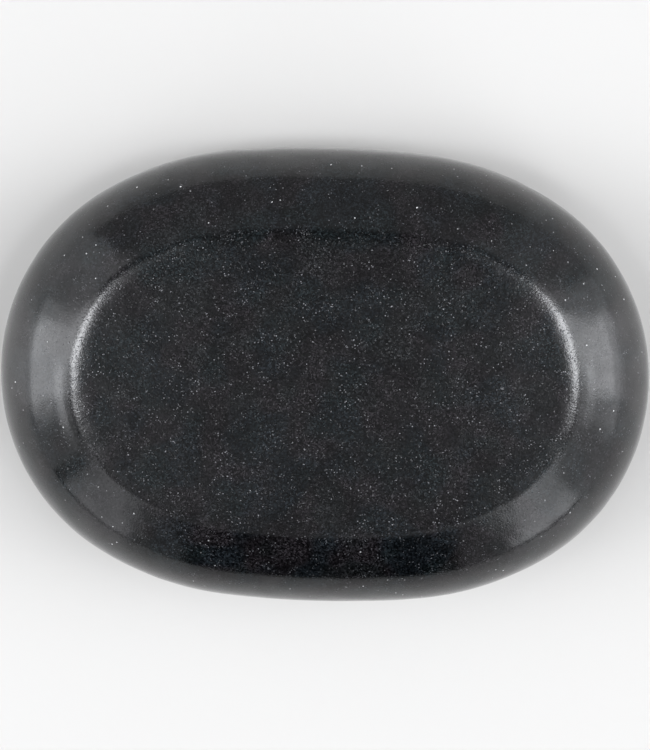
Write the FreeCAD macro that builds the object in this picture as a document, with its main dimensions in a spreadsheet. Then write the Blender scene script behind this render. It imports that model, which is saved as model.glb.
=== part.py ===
import FreeCAD, Part
import math
import os

import Sketcher

# Basalt massage stone: one solid oval block of basalt, ground smooth all round.
# Its edge is fully rounded and both broad faces are flat, so it lies still on a table or on the skin.
#
# Frame: millimetres, +Z up, origin at the centre of the lower flat, +X along the stone's length.


# --- Driving dimensions -------------------------------------------------------------------------

DIMENSIONS = [
    ("length", 80.0, "end to end"),
    ("width", 56.1, "side to side"),
    ("thickness", 23.0, "from the lower flat to the upper flat"),
    ("end_radius", 26.0, "outline radius round each end"),
    ("shoulder_radius", 37.3, "outline radius between an end and a side"),
    ("side_radius", 122.9, "outline radius along each side"),
    ("edge_radius", 11.5, "section radius of the rounded edge, above and below the girdle"),
    ("girdle_land", 0.3, "height of the upright band at the girdle, between the two rounded edges"),
    ("crease_radius", 8.0, "softening radius where a flat meets the rounded edge"),
    ("grinding_margin", 5.0, "how far the ground-off layers reach past the blank on every side"),
]

SKETCH_ORIGIN = -1   # Sketcher's name for the sketch's horizontal axis, whose start is the origin
SKETCH_X_AXIS = -1
SKETCH_Y_AXIS = -2
START_POINT = 1
END_POINT = 2
CENTRE_POINT = 3
TOLERANCE = 1e-4


def make_sheet(doc):
    """Put every driving dimension in a spreadsheet cell that carries its name as an alias."""
    sheet = doc.addObject("Spreadsheet::Sheet", "Dimensions")
    for row, (name, value, meaning) in enumerate(DIMENSIONS, start=1):
        sheet.set(f"A{row}", name)
        sheet.set(f"B{row}", str(value))
        sheet.set(f"C{row}", meaning)
        sheet.setAlias(f"B{row}", name)
    doc.recompute()
    return sheet


# --- Small helpers ------------------------------------------------------------------------------

def origin_plane(body, role):
    """The body's own origin plane with this role, such as XY_Plane."""
    for feature in body.Origin.OriginFeatures:
        if feature.Role == role:
            return feature
    raise RuntimeError(f"{body.Label} has no {role}")


def add_sketch(body, name, role):
    """A new empty sketch lying on one of the body's origin planes."""
    sketch = body.newObject("Sketcher::SketchObject", name)
    sketch.AttachmentSupport = [(origin_plane(body, role), "")]
    sketch.MapMode = "FlatFace"
    return sketch


def constrain(sketch, name, formula, *constraint):
    """Add a dimension to the sketch and bind it to a formula of spreadsheet cells."""
    index = sketch.addConstraint(Sketcher.Constraint(*constraint))
    sketch.renameConstraint(index, name)
    sketch.setExpression(f"Constraints.{name}", formula)


def edges_at_height(shape, height):
    """Names of the edges that lie in the horizontal plane at this height."""
    names = []
    for number, edge in enumerate(shape.Edges, start=1):
        if all(abs(vertex.Z - height) < TOLERANCE for vertex in edge.Vertexes):
            names.append(f"Edge{number}")
    return names


# --- Outline ------------------------------------------------------------------------------------

def shoulder_centre(sheet, end_centre, side_centre):
    """Centre of the arc that runs on smoothly from an end arc into a side arc.

    It lies as far from the two given centres as the radii differ.
    """
    from_end = sheet.shoulder_radius - sheet.end_radius
    from_side = sheet.side_radius - sheet.shoulder_radius
    span = side_centre - end_centre
    distance = span.Length
    along = (from_end**2 - from_side**2 + distance**2) / (2 * distance)
    across = math.sqrt(from_end**2 - along**2)
    direction = span / distance
    towards_middle = FreeCAD.Vector(direction.y, -direction.x, 0)
    return end_centre + direction * along + towards_middle * across


def outline_arcs(sheet):
    """The eight arcs of the oval, anticlockwise from the +X end: (centre, radius, start, end)."""
    end_centre = FreeCAD.Vector(sheet.length / 2 - sheet.end_radius, 0, 0)
    side_centre = FreeCAD.Vector(0, sheet.width / 2 - sheet.side_radius, 0)
    shoulder = shoulder_centre(sheet, end_centre, side_centre)
    end_turn = math.atan2(end_centre.y - shoulder.y, end_centre.x - shoulder.x)
    side_turn = math.atan2(shoulder.y - side_centre.y, shoulder.x - side_centre.x)

    arcs = []
    for side in (1, -1):
        half_turn = 0 if side > 0 else math.pi
        arcs += [
            (end_centre * side, sheet.end_radius, half_turn - end_turn, half_turn + end_turn),
            (shoulder * side, sheet.shoulder_radius, half_turn + end_turn, half_turn + side_turn),
            (side_centre * side, sheet.side_radius,
             half_turn + side_turn, half_turn + math.pi - side_turn),
            (FreeCAD.Vector(-shoulder.x, shoulder.y, 0) * side, sheet.shoulder_radius,
             half_turn + math.pi - side_turn, half_turn + math.pi - end_turn),
        ]
    return arcs


def draw_outline(sketch, sheet):
    """Draw the oval: end, shoulder, side and shoulder arcs, twice round, each tangent to the next."""
    upright = FreeCAD.Vector(0, 0, 1)
    for centre, radius, start, end in outline_arcs(sheet):
        sketch.addGeometry(Part.ArcOfCircle(Part.Circle(centre, upright, radius), start, end))

    count = sketch.GeometryCount
    for arc in range(count):
        following = (arc + 1) % count
        sketch.addConstraint(Sketcher.Constraint("Tangent", arc, END_POINT, following, START_POINT))

    right_end, side_up, left_end, side_down = 0, 2, 4, 6
    shoulders = (1, 3, 5, 7)
    for end in (right_end, left_end):
        sketch.addConstraint(Sketcher.Constraint("PointOnObject", end, CENTRE_POINT, SKETCH_X_AXIS))
    for side in (side_up, side_down):
        sketch.addConstraint(Sketcher.Constraint("PointOnObject", side, CENTRE_POINT, SKETCH_Y_AXIS))
    sketch.addConstraint(Sketcher.Constraint("Equal", right_end, left_end))
    sketch.addConstraint(Sketcher.Constraint("Equal", side_up, side_down))
    for shoulder in shoulders[1:]:
        sketch.addConstraint(Sketcher.Constraint("Equal", shoulders[0], shoulder))

    constrain(sketch, "end_radius", "Dimensions.end_radius",
              "Radius", right_end, sheet.end_radius)
    constrain(sketch, "shoulder_radius", "Dimensions.shoulder_radius",
              "Radius", shoulders[0], sheet.shoulder_radius)
    constrain(sketch, "side_radius", "Dimensions.side_radius",
              "Radius", side_up, sheet.side_radius)

    end_offset = sheet.length / 2 - sheet.end_radius
    end_formula = "Dimensions.length / 2 - Dimensions.end_radius"
    constrain(sketch, "right_end", end_formula,
              "DistanceX", SKETCH_ORIGIN, START_POINT, right_end, CENTRE_POINT, end_offset)
    constrain(sketch, "left_end", end_formula,
              "DistanceX", left_end, CENTRE_POINT, SKETCH_ORIGIN, START_POINT, end_offset)

    side_offset = sheet.side_radius - sheet.width / 2
    side_formula = "Dimensions.side_radius - Dimensions.width / 2"
    constrain(sketch, "upper_side", side_formula,
              "DistanceY", side_up, CENTRE_POINT, SKETCH_ORIGIN, START_POINT, side_offset)
    constrain(sketch, "lower_side", side_formula,
              "DistanceY", SKETCH_ORIGIN, START_POINT, side_down, CENTRE_POINT, side_offset)


# --- Ground-off layers --------------------------------------------------------------------------

def draw_layer(sketch, sheet, name, side):
    """Draw the rectangle, seen from the stone's long side, that is ground off above or below.

    Its near edge is the flat and its other edges clear the blank.
    """
    reach = sheet.length / 2 + sheet.grinding_margin
    near = side * sheet.thickness / 2
    far = side * (sheet.thickness / 2 + sheet.grinding_margin)
    corners = [(-reach, near), (reach, near), (reach, far), (-reach, far)]
    first = sketch.GeometryCount
    for index, (x, y) in enumerate(corners):
        next_x, next_y = corners[(index + 1) % len(corners)]
        sketch.addGeometry(Part.LineSegment(FreeCAD.Vector(x, y, 0), FreeCAD.Vector(next_x, next_y, 0)))
    flat, right, outer, left = range(first, first + len(corners))

    for line, following in ((flat, right), (right, outer), (outer, left), (left, flat)):
        sketch.addConstraint(Sketcher.Constraint("Coincident", line, END_POINT, following, START_POINT))
    sketch.addConstraint(Sketcher.Constraint("Horizontal", outer))
    for line in (right, left):
        sketch.addConstraint(Sketcher.Constraint("Vertical", line))
    sketch.addConstraint(
        Sketcher.Constraint("Symmetric", flat, START_POINT, flat, END_POINT, SKETCH_Y_AXIS))

    constrain(sketch, f"{name}_reach", "Dimensions.length + 2 * Dimensions.grinding_margin",
              "DistanceX", flat, START_POINT, flat, END_POINT, 2 * reach)

    # A height is measured upwards, so below the middle its two ends change places.
    heights = (
        ("flat", SKETCH_ORIGIN, flat, "Dimensions.thickness / 2", sheet.thickness / 2),
        ("depth", flat, outer, "Dimensions.grinding_margin", sheet.grinding_margin),
    )
    for label, inner, beyond, formula, height in heights:
        low, high = (inner, beyond) if side > 0 else (beyond, inner)
        constrain(sketch, f"{name}_{label}", formula,
                  "DistanceY", low, START_POINT, high, START_POINT, height)


# --- The stone ----------------------------------------------------------------------------------

def make_stone(doc, sheet):
    """Build the stone from a thick oval blank: round its edges, grind its flats, soften the creases."""
    body = doc.addObject("PartDesign::Body", "massage_stone")
    body.Label = "massage_stone"

    outline = add_sketch(body, "Outline", "XY_Plane")
    draw_outline(outline, sheet)

    blank = body.newObject("PartDesign::Pad", "Blank")
    blank.Profile = outline
    blank.SideType = "Symmetric"
    blank.setExpression("Length", "2 * Dimensions.edge_radius + Dimensions.girdle_land")
    doc.recompute()

    half_blank = sheet.edge_radius + sheet.girdle_land / 2
    rounding = body.newObject("PartDesign::Fillet", "Rounding")
    blank_edges = edges_at_height(blank.Shape, half_blank) + edges_at_height(blank.Shape, -half_blank)
    rounding.Base = (blank, blank_edges)
    rounding.setExpression("Radius", "Dimensions.edge_radius")
    doc.recompute()

    layers = add_sketch(body, "GroundLayers", "XZ_Plane")
    draw_layer(layers, sheet, "upper", 1)
    draw_layer(layers, sheet, "lower", -1)

    flats = body.newObject("PartDesign::Pocket", "Flats")
    flats.Profile = layers
    flats.SideType = "Symmetric"
    flats.Type = "ThroughAll"
    doc.recompute()

    half_thickness = sheet.thickness / 2
    creases = body.newObject("PartDesign::Fillet", "Creases")
    flat_edges = edges_at_height(flats.Shape, half_thickness) + edges_at_height(flats.Shape, -half_thickness)
    creases.Base = (flats, flat_edges)
    creases.setExpression("Radius", "Dimensions.crease_radius")

    body.Tip = creases
    body.setExpression("Placement.Base.z", "Dimensions.thickness / 2")
    doc.recompute()
    return body


# --- Checks and export --------------------------------------------------------------------------

def check_document(doc):
    """Stop if any object of the document failed to recompute."""
    for item in doc.Objects:
        if "Invalid" in item.State or "Error" in item.State:
            raise RuntimeError(f"{item.Label} failed: {item.State}")


def check_sketches(doc):
    """Stop if any sketch is left with a degree of freedom."""
    for item in doc.Objects:
        if item.TypeId == "Sketcher::SketchObject" and not item.FullyConstrained:
            raise RuntimeError(f"{item.Label} is not fully constrained")


def check_features(doc):
    """Stop if rounding, grinding or softening took nothing away from the feature before it."""
    chain = [doc.getObject(name) for name in ("Blank", "Rounding", "Flats", "Creases")]
    for before, after in zip(chain, chain[1:]):
        if not after.Shape.Volume < before.Shape.Volume:
            raise RuntimeError(f"{after.Label} removes nothing from {before.Label}")


def check_stone(body, sheet):
    """Stop unless the stone is one valid solid of the stated size, standing on its lower flat."""
    shape = body.Shape
    if shape.isNull() or not shape.isValid() or len(shape.Solids) != 1:
        raise RuntimeError(f"{body.Label} is not one valid solid")
    box = shape.optimalBoundingBox(False)
    found = (box.XMin, box.XMax, box.YMin, box.YMax, box.ZMin, box.ZMax)
    half_length = sheet.length / 2
    half_width = sheet.width / 2
    wanted = (-half_length, half_length, -half_width, half_width, 0, sheet.thickness)
    if any(abs(a - b) > 10 * TOLERANCE for a, b in zip(found, wanted)):
        raise RuntimeError(f"{body.Label} spans {found}, not {wanted}")


def main():
    os.makedirs("parts", exist_ok=True)
    doc = FreeCAD.newDocument("basalt_massage_stone")
    sheet = make_sheet(doc)
    stone = make_stone(doc, sheet)

    check_document(doc)
    check_sketches(doc)
    check_features(doc)
    check_stone(stone, sheet)

    stone.Shape.exportStep(os.path.join("parts", f"{stone.Label}.step"))
    flat = max(stone.Shape.Faces, key=lambda face: face.CenterOfMass.z)
    print(f"{stone.Label}: volume {stone.Shape.Volume / 1000:.2f} cm3, "
          f"flat {flat.BoundBox.XLength:.2f} x {flat.BoundBox.YLength:.2f} mm")


main()
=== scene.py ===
import math

import bmesh
import bpy
import numpy as np
from mathutils import Matrix, Vector, noise


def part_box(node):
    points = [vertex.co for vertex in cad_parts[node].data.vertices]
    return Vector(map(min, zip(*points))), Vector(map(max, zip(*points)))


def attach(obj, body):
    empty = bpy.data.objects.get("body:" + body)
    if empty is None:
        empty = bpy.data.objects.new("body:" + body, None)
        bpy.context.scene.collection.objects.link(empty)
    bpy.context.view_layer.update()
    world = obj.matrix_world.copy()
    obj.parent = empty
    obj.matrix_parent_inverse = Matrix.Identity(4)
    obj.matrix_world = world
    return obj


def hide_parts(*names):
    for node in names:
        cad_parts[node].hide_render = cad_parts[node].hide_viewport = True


# Looks of the basalt massage stone. Everything is in metres, in the frame of the CAD part:
# +X along the stone, +Y across it, +Z up, origin at the centre of the lower flat.

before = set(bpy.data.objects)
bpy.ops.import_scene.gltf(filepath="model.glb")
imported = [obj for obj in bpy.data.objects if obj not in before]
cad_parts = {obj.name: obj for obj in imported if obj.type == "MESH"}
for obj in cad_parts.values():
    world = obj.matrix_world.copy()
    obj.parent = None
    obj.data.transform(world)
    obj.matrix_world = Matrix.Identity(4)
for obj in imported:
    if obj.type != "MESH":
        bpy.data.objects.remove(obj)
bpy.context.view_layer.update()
stone_low, stone_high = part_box("massage_stone")

MM = 0.001


# --- The stone's own dimensions -----------------------------------------------------------------

HALF_LENGTH = (stone_high.x - stone_low.x) / 2
HALF_WIDTH = (stone_high.y - stone_low.y) / 2
HALF_THICKNESS = (stone_high.z - stone_low.z) / 2

END_RADIUS = 26.0 * MM          # outline radius round each end
SHOULDER_RADIUS = 37.3 * MM     # outline radius between an end and a side
SIDE_RADIUS = 122.9 * MM        # outline radius along each side
EDGE_RADIUS = 11.5 * MM         # section radius of the rounded edge
GIRDLE_LAND = 0.3 * MM          # height of the upright band between the two rounded edges

FULL_CORNER = math.radians(222)     # direction of the corner whose edge is fuller
CORNER_FULLNESS = 0.12 * MM
CORNER_REACH = math.radians(28)

WAVE_HEIGHT = 0.020 * MM        # the faint waves that grinding by hand leaves in the surface
WAVE_LENGTH = 2.6 * MM
WAVES_ON_FLATS = 0.35           # how much of that height they keep on the flats

RIM_SHARE = 0.43                # share of the mesh's way from girdle to pole that is rounded edge
CUBE_LEVELS = 7                 # how many times the mesh's cube is divided


# --- Shape --------------------------------------------------------------------------------------

def oval_arcs():
    """The quarter of the outline from the +X end to the +Y side: (centre, radius, from, to) per arc."""
    end_centre = np.array([HALF_LENGTH - END_RADIUS, 0.0])
    side_centre = np.array([0.0, HALF_WIDTH - SIDE_RADIUS])
    from_end = SHOULDER_RADIUS - END_RADIUS
    from_side = SIDE_RADIUS - SHOULDER_RADIUS
    span = side_centre - end_centre
    distance = np.hypot(*span)
    along = (from_end**2 - from_side**2 + distance**2) / (2 * distance)
    across = math.sqrt(from_end**2 - along**2)
    direction = span / distance
    shoulder = end_centre + direction * along + np.array([direction[1], -direction[0]]) * across
    end_turn = math.atan2(*(end_centre - shoulder)[::-1])
    side_turn = math.atan2(*(shoulder - side_centre)[::-1])
    return [
        (end_centre, END_RADIUS, 0.0, end_turn),
        (shoulder, SHOULDER_RADIUS, end_turn, side_turn),
        (side_centre, SIDE_RADIUS, side_turn, math.pi / 2),
    ]


def oval_at(turn):
    """Arc centre, arc radius and outward direction of the outline, a fraction of the way round."""
    quarter_turn = np.mod(turn, 1.0) * 4
    quarter = np.floor(quarter_turn).astype(int) % 4
    share = quarter_turn - np.floor(quarter_turn)
    share = np.where(quarter % 2 == 1, 1 - share, share)
    sign_x = np.where((quarter == 1) | (quarter == 2), -1.0, 1.0)
    sign_y = np.where(quarter >= 2, -1.0, 1.0)

    arcs = oval_arcs()
    lengths = [radius * (stop - start) for _, radius, start, stop in arcs]
    travelled = share * sum(lengths)
    centre = np.zeros((len(turn), 2))
    radius = np.zeros(len(turn))
    angle = np.zeros(len(turn))
    begin = 0.0
    for (arc_centre, arc_radius, start, _), length in zip(arcs, lengths):
        here = travelled >= begin - 1e-12
        centre[here] = arc_centre
        radius[here] = arc_radius
        angle[here] = start + (travelled[here] - begin) / arc_radius
        begin += length
    outward = np.stack([np.cos(angle) * sign_x, np.sin(angle) * sign_y], axis=1)
    centre *= np.stack([sign_x, sign_y], axis=1)
    return centre, radius, outward


def smooth_minimum(a, b, softness):
    """The lower of a and b, blended where they differ by less than softness."""
    overlap = np.maximum(softness - np.abs(a - b), 0) / softness
    return np.minimum(a, b) - overlap**2 * softness / 4


def lump(points, size, seed):
    """Smooth noise from about -1 to 1 at each point, with lumps of this size."""
    offset = Vector((seed * 17.3, seed * 9.1, seed * 5.7))
    return np.array([noise.noise(Vector(point) / size + offset) for point in points])


def edge_radius(outward):
    """Section radius of the rounded edge. Hand grinding left it a little fuller at one corner."""
    corner = np.array([math.cos(FULL_CORNER), math.sin(FULL_CORNER)])
    off_corner = np.arccos(np.clip(outward @ corner, -1, 1))
    return EDGE_RADIUS + CORNER_FULLNESS * np.exp(-(off_corner / CORNER_REACH) ** 2)


def crease_softness(outward):
    """How far apart edge and flat may be in height where they still blend: crisp at -Y, soft at the ends."""
    x, y = outward[:, 0], outward[:, 1]
    return (0.28 + 0.08 * y + 0.125 * (x * x - y * y)) * MM


def stone_surface(directions):
    """Where points of the unit sphere lie on the stone."""
    azimuth = np.arctan2(directions[:, 1], directions[:, 0])
    height = directions[:, 2]
    lift = np.abs(np.arcsin(np.clip(height, -1, 1))) / (math.pi / 2)
    side = np.where(height >= 0, 1.0, -1.0)
    centre, radius, outward = oval_at(azimuth / (2 * math.pi))

    on_rim = lift <= RIM_SHARE
    tilt = np.where(on_rim, lift / RIM_SHARE, 1.0) * math.pi / 2
    section = edge_radius(outward)
    depth = section * (1 - np.cos(tilt))
    rounded = GIRDLE_LAND / 2 + section * np.sin(tilt)
    ring = centre + outward * (radius - depth)[:, None]
    shrink = np.where(on_rim, 1.0, (1 - lift) / (1 - RIM_SHARE))
    place = ring * shrink[:, None]

    # The blend's depth varies round the outline, so it fades out towards the middle of the flat.
    blend = HALF_THICKNESS - smooth_minimum(rounded, HALF_THICKNESS, crease_softness(outward))
    top = HALF_THICKNESS - blend * shrink**3
    points = np.column_stack([place, HALF_THICKNESS + side * top])

    # Shifted down to sink the surface, so that the stone stays inside the CAD part's box.
    waves = lump(points, WAVE_LENGTH, 1) + 0.5 * lump(points, WAVE_LENGTH / 2, 2) - 1
    waves *= WAVE_HEIGHT * (WAVES_ON_FLATS + (1 - WAVES_ON_FLATS) * np.cos(tilt))
    points[:, :2] += outward * (waves * np.cos(tilt))[:, None]
    points[:, 2] += side * waves * np.sin(tilt)
    return points


def cube_sphere(levels):
    """A sphere of evenly sized quads, as a bmesh: a cube divided again and again, then rounded."""
    grid = bmesh.new()
    bmesh.ops.create_cube(grid, size=2)
    for _ in range(levels):
        bmesh.ops.subdivide_edges(grid, edges=grid.edges[:], cuts=1, use_grid_fill=True)
    for vertex in grid.verts:
        spread = [math.tan(c * math.pi / 4) for c in vertex.co]
        vertex.co = Vector(spread).normalized()
    return grid


def make_stone(material):
    """The stone as one closed mesh that stands for the CAD node."""
    grid = cube_sphere(CUBE_LEVELS)
    directions = np.array([vertex.co for vertex in grid.verts])
    for vertex, point in zip(grid.verts, stone_surface(directions)):
        vertex.co = point
    mesh = bpy.data.meshes.new("stone")
    grid.to_mesh(mesh)
    grid.free()
    mesh.shade_smooth()
    mesh.materials.append(material)
    stone = bpy.data.objects.new("stone", mesh)
    bpy.context.scene.collection.objects.link(stone)
    return stone


# --- Materials ----------------------------------------------------------------------------------

class Nodes:
    """A material's or world's node tree, with short calls that add a node and wire it up."""

    def __init__(self, tree):
        self.tree = tree
        tree.nodes.clear()

    def add(self, kind, inputs=(), **settings):
        """Add a node. inputs is {socket: value or another node's output}."""
        node = self.tree.nodes.new(kind)
        for name, value in settings.items():
            setattr(node, name, value)
        for name, value in dict(inputs).items():
            if isinstance(value, bpy.types.NodeSocket):
                self.tree.links.new(value, node.inputs[name])
            else:
                node.inputs[name].default_value = value
        return node

    def math(self, operation, a, b=0.0, clamp=False):
        return self.add("ShaderNodeMath", {0: a, 1: b}, operation=operation, use_clamp=clamp).outputs[0]

    def ramp(self, value, low, high, to_low=0.0, to_high=1.0, smooth=True):
        """Take value from low..high to to_low..to_high, holding it at the ends."""
        kind = "SMOOTHSTEP" if smooth else "LINEAR"
        inputs = {"Value": value, "From Min": low, "From Max": high, "To Min": to_low, "To Max": to_high}
        return self.add("ShaderNodeMapRange", inputs, interpolation_type=kind).outputs["Result"]

    def mix(self, share, a, b):
        """Blend two colours."""
        node = self.tree.nodes.new("ShaderNodeMix")
        node.data_type = "RGBA"
        for socket, value in ((node.inputs[0], share), (node.inputs[6], a), (node.inputs[7], b)):
            if isinstance(value, bpy.types.NodeSocket):
                self.tree.links.new(value, socket)
            else:
                socket.default_value = value
        return node.outputs[2]


# Linear colours of the rock. Its ground drifts from grey to plum and towards green.
DARK_GREY = (0.0006, 0.0008, 0.0011, 1)
DARK_PLUM = (0.0011, 0.0009, 0.0011, 1)
DARK_GREEN = (0.0006, 0.0012, 0.0011, 1)
LIGHT_GREY = (0.0140, 0.0178, 0.0214, 1)
LIGHT_PLUM = (0.0202, 0.0178, 0.0202, 1)
LIGHT_GREEN = (0.0130, 0.0200, 0.0200, 1)
LATH = (0.07, 0.075, 0.085, 1)
DOT = (0.155, 0.155, 0.165, 1)
BRIGHT_GRAIN = (0.80, 0.80, 0.81, 1)

FLOOR_NEAR = (0.63, 0.62, 0.60, 1)
# Painted shade: the floor's darker colour some way in front of and behind the stone.
FLOOR_PAINTED_SHADE = (0.535, 0.53, 0.515, 1)


def crystals(nodes, place, seed, spacing, length, width, crowd, power):
    """Crystals scattered through the rock, cut open where they meet the surface.

    spacing, length and width are in millimetres. crowd shifts how many of them show, and power how
    few of those that show are bright. Returns their brightness and, in millimetres, the height of the
    tilted facet that each ends in.
    """
    shifted = nodes.add("ShaderNodeVectorMath", {0: place, 1: (seed * 3.1, seed * 7.7, seed * 1.3)},
                        operation="ADD").outputs[0]
    cell = nodes.add("ShaderNodeTexVoronoi", {"Vector": shifted, "Scale": 1 / spacing})
    inside = nodes.add("ShaderNodeVectorMath", {0: shifted, 1: cell.outputs["Position"]},
                       operation="SUBTRACT").outputs[0]
    random = cell.outputs["Color"]
    full_turn = 6.28
    angles = nodes.add("ShaderNodeVectorMath", {0: random, 1: (full_turn, full_turn, full_turn)},
                       operation="MULTIPLY").outputs[0]
    turned = nodes.add("ShaderNodeVectorRotate", {"Vector": inside, "Rotation": angles},
                       rotation_type="EULER_XYZ").outputs[0]
    stretched = nodes.add("ShaderNodeVectorMath", {0: turned, 1: (2 / length, 2 / width, 2 / width)},
                          operation="MULTIPLY").outputs[0]
    reach = nodes.add("ShaderNodeVectorMath", {0: stretched}, operation="LENGTH").outputs["Value"]
    shape = nodes.ramp(reach, 0.8, 1.2, 1.0, 0.0)
    chance = nodes.add("ShaderNodeSeparateColor", {0: random}).outputs[2]
    chance = nodes.math("ADD", chance, crowd, clamp=True)
    brightness = nodes.math("MULTIPLY", shape, nodes.math("POWER", chance, power))

    tilt = nodes.add("ShaderNodeVectorMath", {0: random, 1: (0.5, 0.5, 0.5)},
                     operation="SUBTRACT").outputs[0]
    facet = nodes.add("ShaderNodeVectorMath", {0: inside, 1: tilt},
                      operation="DOT_PRODUCT").outputs["Value"]
    return brightness, nodes.math("MULTIPLY", shape, facet)


def grains(nodes, place, size, power):
    """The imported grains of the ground: one random value each. The higher the power, the more are low."""
    cell = nodes.add("ShaderNodeTexVoronoi", {"Vector": place, "Scale": 1 / size})
    random = nodes.add("ShaderNodeSeparateColor", {0: cell.outputs["Color"]}).outputs[0]
    return nodes.math("POWER", random, power)


def basalt_material():
    """Ground and oiled basalt: near-black ground of fine grains, with pale feldspar laths and dots."""
    material = bpy.data.materials.new("ground_basalt")
    material.use_nodes = True
    nodes = Nodes(material.node_tree)
    place = nodes.add("ShaderNodeTexCoord").outputs["Object"]
    in_mm = nodes.add("ShaderNodeVectorMath", {0: place, 1: (1000, 1000, 1000)},
                      operation="MULTIPLY").outputs[0]

    def noise_at(size, detail, seed=0.0):
        """Noise with lumps of this many millimetres."""
        shifted = nodes.add("ShaderNodeVectorMath", {0: in_mm, 1: (seed, seed * 2, seed * 3)},
                            operation="ADD").outputs[0]
        return nodes.add("ShaderNodeTexNoise",
                         {"Vector": shifted, "Scale": 1 / size, "Detail": detail}).outputs["Fac"]

    clouds = noise_at(4.0, 3.0)
    clusters = noise_at(1.5, 2.0, 40.0)
    plum = nodes.ramp(noise_at(6.0, 1.0, 120.0), 0.42, 0.58)
    green = nodes.math("MULTIPLY", nodes.ramp(noise_at(5.0, 1.0, 160.0), 0.45, 0.62), 0.4)
    crowd = nodes.ramp(clusters, 0.30, 0.70, -0.24, 0.08)

    dark = nodes.mix(green, nodes.mix(plum, DARK_GREY, DARK_PLUM), DARK_GREEN)
    light = nodes.mix(green, nodes.mix(plum, LIGHT_GREY, LIGHT_PLUM), LIGHT_GREEN)
    ground = nodes.math("MULTIPLY", grains(nodes, in_mm, 0.16, 2.6),
                        nodes.ramp(clouds, 0.38, 0.62, 0.65, 1.40))
    base = nodes.mix(ground, dark, light)

    laths, _ = crystals(nodes, in_mm, seed=2, spacing=0.30, length=0.32, width=0.12, crowd=crowd, power=5.0)
    dots, facets = crystals(nodes, in_mm, seed=1, spacing=0.30, length=0.17, width=0.13, crowd=crowd,
                            power=12.0)
    bright, _ = crystals(nodes, in_mm, seed=3, spacing=0.80, length=0.22, width=0.17, crowd=crowd, power=7.0)
    base = nodes.mix(nodes.math("MULTIPLY", laths, 0.6), base, LATH)
    base = nodes.mix(dots, base, DOT)
    base = nodes.mix(bright, base, BRIGHT_GRAIN)

    feldspar = nodes.math("MAXIMUM", laths, bright)
    roughness = nodes.ramp(feldspar, 0.0, 0.35, 0.12, 0.45, smooth=False)
    relief = nodes.math("ADD", nodes.math("MULTIPLY", noise_at(0.18, 1.0, 200.0), 0.007),
                        nodes.math("MULTIPLY", facets, 0.13))
    gloss = nodes.math("ADD", nodes.ramp(noise_at(0.22, 1.0, 300.0), 0.3, 0.7, 0.40, 0.49),
                       nodes.ramp(noise_at(4.0, 2.0, 90.0), 0.38, 0.62, 0.0, 0.08))
    bump = nodes.add("ShaderNodeBump", {"Height": relief, "Strength": 1.0, "Distance": MM})
    shader = nodes.add("ShaderNodeBsdfPrincipled", {
        "Base Color": base, "Roughness": roughness, "IOR": 1.56, "Specular IOR Level": gloss,
        "Normal": bump.outputs[0]})
    nodes.add("ShaderNodeOutputMaterial", {"Surface": shader.outputs[0]})
    return material


def floor_material():
    """A pale floor with painted shade: a shade darker some way in front of the stone and behind it."""
    material = bpy.data.materials.new("pale_floor_painted_shade")
    material.use_nodes = True
    nodes = Nodes(material.node_tree)
    place = nodes.add("ShaderNodeTexCoord").outputs["Object"]
    across = nodes.math("ABSOLUTE", nodes.add("ShaderNodeSeparateXYZ", {0: place}).outputs["Y"])
    # Painted shade on the floor: darker farther in front of and behind the stone, which the stone's lower
    # edges mirror.
    painted_shade = nodes.ramp(across, 0.040, 0.140)
    base = nodes.mix(painted_shade, FLOOR_NEAR, FLOOR_PAINTED_SHADE)
    shader = nodes.add("ShaderNodeBsdfPrincipled", {"Base Color": base, "Roughness": 0.32, "IOR": 1.49})
    nodes.add("ShaderNodeOutputMaterial", {"Surface": shader.outputs[0]})
    return material


# --- Floor, light and camera --------------------------------------------------------------------

STUDIO_RADIUS = 6.0             # from the stone to the studio's side walls of light
STRIP_HEIGHT = 9.0              # from the floor to the strip lights overhead
LIGHT_COLOUR = (0.985, 1.0, 1.035)


def make_floor():
    grid = bmesh.new()
    bmesh.ops.create_circle(grid, cap_ends=True, radius=STUDIO_RADIUS, segments=96)
    mesh = bpy.data.meshes.new("floor")
    grid.to_mesh(mesh)
    grid.free()
    mesh.materials.append(floor_material())
    floor = bpy.data.objects.new("floor", mesh)
    bpy.context.scene.collection.objects.link(floor)


def make_panel(name, place, width, height, radiance):
    """A soft rectangular light. It faces down until it is turned, with its width along X."""
    light = bpy.data.lights.new(name, "AREA")
    light.shape = "RECTANGLE"
    light.size = width
    light.size_y = height
    light.color = LIGHT_COLOUR
    light.energy = radiance * math.pi * width * height
    panel = bpy.data.objects.new(name, light)
    bpy.context.scene.collection.objects.link(panel)
    panel.location = place
    return panel


def face(panel, direction):
    """Turn a panel so that it shines along this direction, with its width level."""
    panel.rotation_mode = "QUATERNION"
    panel.rotation_quaternion = direction.to_track_quat("-Z", "Y")


WALLS = [
    # name, direction, half width, lowest and highest elevation in degrees, radiance
    ("right_wall", 4.5, 12.5, 16, 73, 3.0),
    ("right_wall_low", 4.5, 12.5, 0, 16, 1.3),
    ("right_wall_edge", 1, 20, 6, 71, 0.9),
    ("right_wall_top", 353, 9, 42, 55, 1.3),
    ("right_glow", -4, 37, 0, 71, 1.05),
    ("right_back_glow", 47, 13, 0, 68, 0.28),
    ("left_wall", 181.5, 13.5, 9, 73, 2.95),
    ("left_wall_low", 181.5, 13.5, 0, 9, 1.3),
    ("left_wall_edge", 181, 20, 6, 71, 1.0),
    ("left_wall_top", 197, 10, 42, 55, 2.0),
    ("left_glow", 175.5, 41, 0, 70, 0.78),
    ("front_left_fill", 232, 12, 3, 72, 1.2),
    ("front_left_edge", 241, 14, 0, 74, 0.3),
    ("front_right_fill", 308, 10.5, 4, 73, 2.3),
    ("front_right_edge", 301, 15, 0, 75, 0.35),
]
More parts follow.
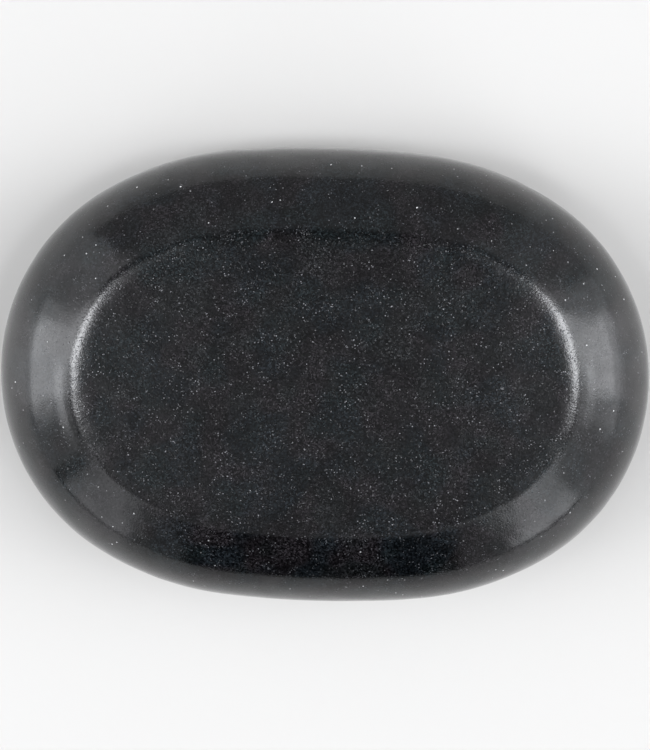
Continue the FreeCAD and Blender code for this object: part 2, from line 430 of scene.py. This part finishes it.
STRIPS = [
    # name, then in degrees: centre off the vertical to +X and +Y, half length, half width, turn; radiance
    ("left_strip", -14.0, -2.6, 3.9, 3.2, 20, 16.5),
    ("left_strip_tail", -14.8, -3.0, 8.7, 3.4, 0, 0.9),
    ("left_strip_glow", -7.5, -2.0, 8.0, 3.5, 0, 0.6),
    ("right_strip", 14.4, -0.9, 5.3, 3.2, -25, 16.0),
    ("right_strip_tail", 15.6, 2.6, 11.5, 3.4, -20, 1.15),
    ("right_strip_glow", 7.5, -1.0, 8.0, 3.5, 0, 0.6),
]


def make_lights():
    def at_height(angle):
        return STRIP_HEIGHT * math.tan(math.radians(angle))

    for name, direction, half_width, lowest, highest, radiance in WALLS:
        low = STUDIO_RADIUS * math.tan(math.radians(lowest))
        high = STUDIO_RADIUS * math.tan(math.radians(highest))
        width = 2 * STUDIO_RADIUS * math.tan(math.radians(half_width))
        inward = -Vector((math.cos(math.radians(direction)), math.sin(math.radians(direction)), 0))
        place = -inward * STUDIO_RADIUS + Vector((0, 0, (low + high) / 2))
        face(make_panel(name, place, width, high - low, radiance), inward)

    for name, towards_x, towards_y, half_length, half_width, turn, radiance in STRIPS:
        place = (at_height(towards_x), at_height(towards_y), STRIP_HEIGHT)
        strip = make_panel(name, place, 2 * at_height(half_length), 2 * at_height(half_width), radiance)
        strip.rotation_euler = (0, 0, math.radians(90 + turn))
        strip.visible_camera = False


def make_world():
    """Dim light from behind the stone and from overhead, and dark elsewhere."""
    world = bpy.data.worlds.new("studio")
    world.use_nodes = True
    nodes = Nodes(world.node_tree)
    direction = nodes.add("ShaderNodeTexCoord").outputs["Generated"]
    parts = nodes.add("ShaderNodeSeparateXYZ", {0: direction})
    back = nodes.ramp(parts.outputs["Y"], 0.09, 0.32, 0.0, 0.33)

    lean, edge, middle = math.radians(15), math.radians(14.5), math.radians(8.5)
    overhead = nodes.add("ShaderNodeVectorMath", {0: direction, 1: (0, -math.sin(lean), math.cos(lean))},
                         operation="DOT_PRODUCT").outputs["Value"]
    clutter = nodes.add("ShaderNodeTexNoise",
                        {"Vector": direction, "Scale": 36.0, "Detail": 2.0}).outputs["Fac"]
    above = nodes.math("MULTIPLY", nodes.ramp(overhead, math.cos(edge), math.cos(middle), 0.0, 0.25),
                       nodes.ramp(clutter, 0.40, 0.60, 0.1, 1.9))

    # Where the world itself is in view behind the stone, it is as pale as the floor.
    seen = nodes.add("ShaderNodeLightPath").outputs["Is Camera Ray"]
    strength = nodes.math("MAXIMUM", nodes.math("MAXIMUM", back, above), nodes.math("MULTIPLY", seen, 0.9))
    shader = nodes.add("ShaderNodeBackground", {"Color": (*LIGHT_COLOUR, 1), "Strength": strength})
    nodes.add("ShaderNodeOutputWorld", {"Surface": shader.outputs[0]})
    bpy.context.scene.world = world


def make_camera():
    """A long lens almost straight above the stone, leaning a little towards its +Y side."""
    lean = math.radians(5.8)
    roll = math.radians(1.5)
    distance = 0.55
    view_height = 92.6 * MM
    target = Vector((0, 0, HALF_THICKNESS))
    back = Vector((0, math.sin(lean), math.cos(lean)))
    upward = Vector((0, math.cos(lean), -math.sin(lean)))
    level = Vector((1, 0, 0))
    right = level * math.cos(roll) + upward * math.sin(roll)
    up = upward * math.cos(roll) - level * math.sin(roll)

    data = bpy.data.cameras.new("camera")
    data.sensor_fit = "AUTO"
    data.lens = data.sensor_width * distance / view_height
    data.clip_start = 0.01
    data.clip_end = 100
    camera = bpy.data.objects.new("camera", data)
    bpy.context.scene.collection.objects.link(camera)
    matrix = Matrix((right, up, back)).transposed().to_4x4()
    matrix.translation = target + back * distance
    camera.matrix_world = matrix
    bpy.context.scene.camera = camera


# --- Put together -------------------------------------------------------------------------------

stone = make_stone(basalt_material())
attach(stone, "root")
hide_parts("massage_stone")

make_floor()
make_lights()
make_world()
make_camera()
bpy.context.scene.view_settings.view_transform = "Standard"

bpy.context.view_layer.update()
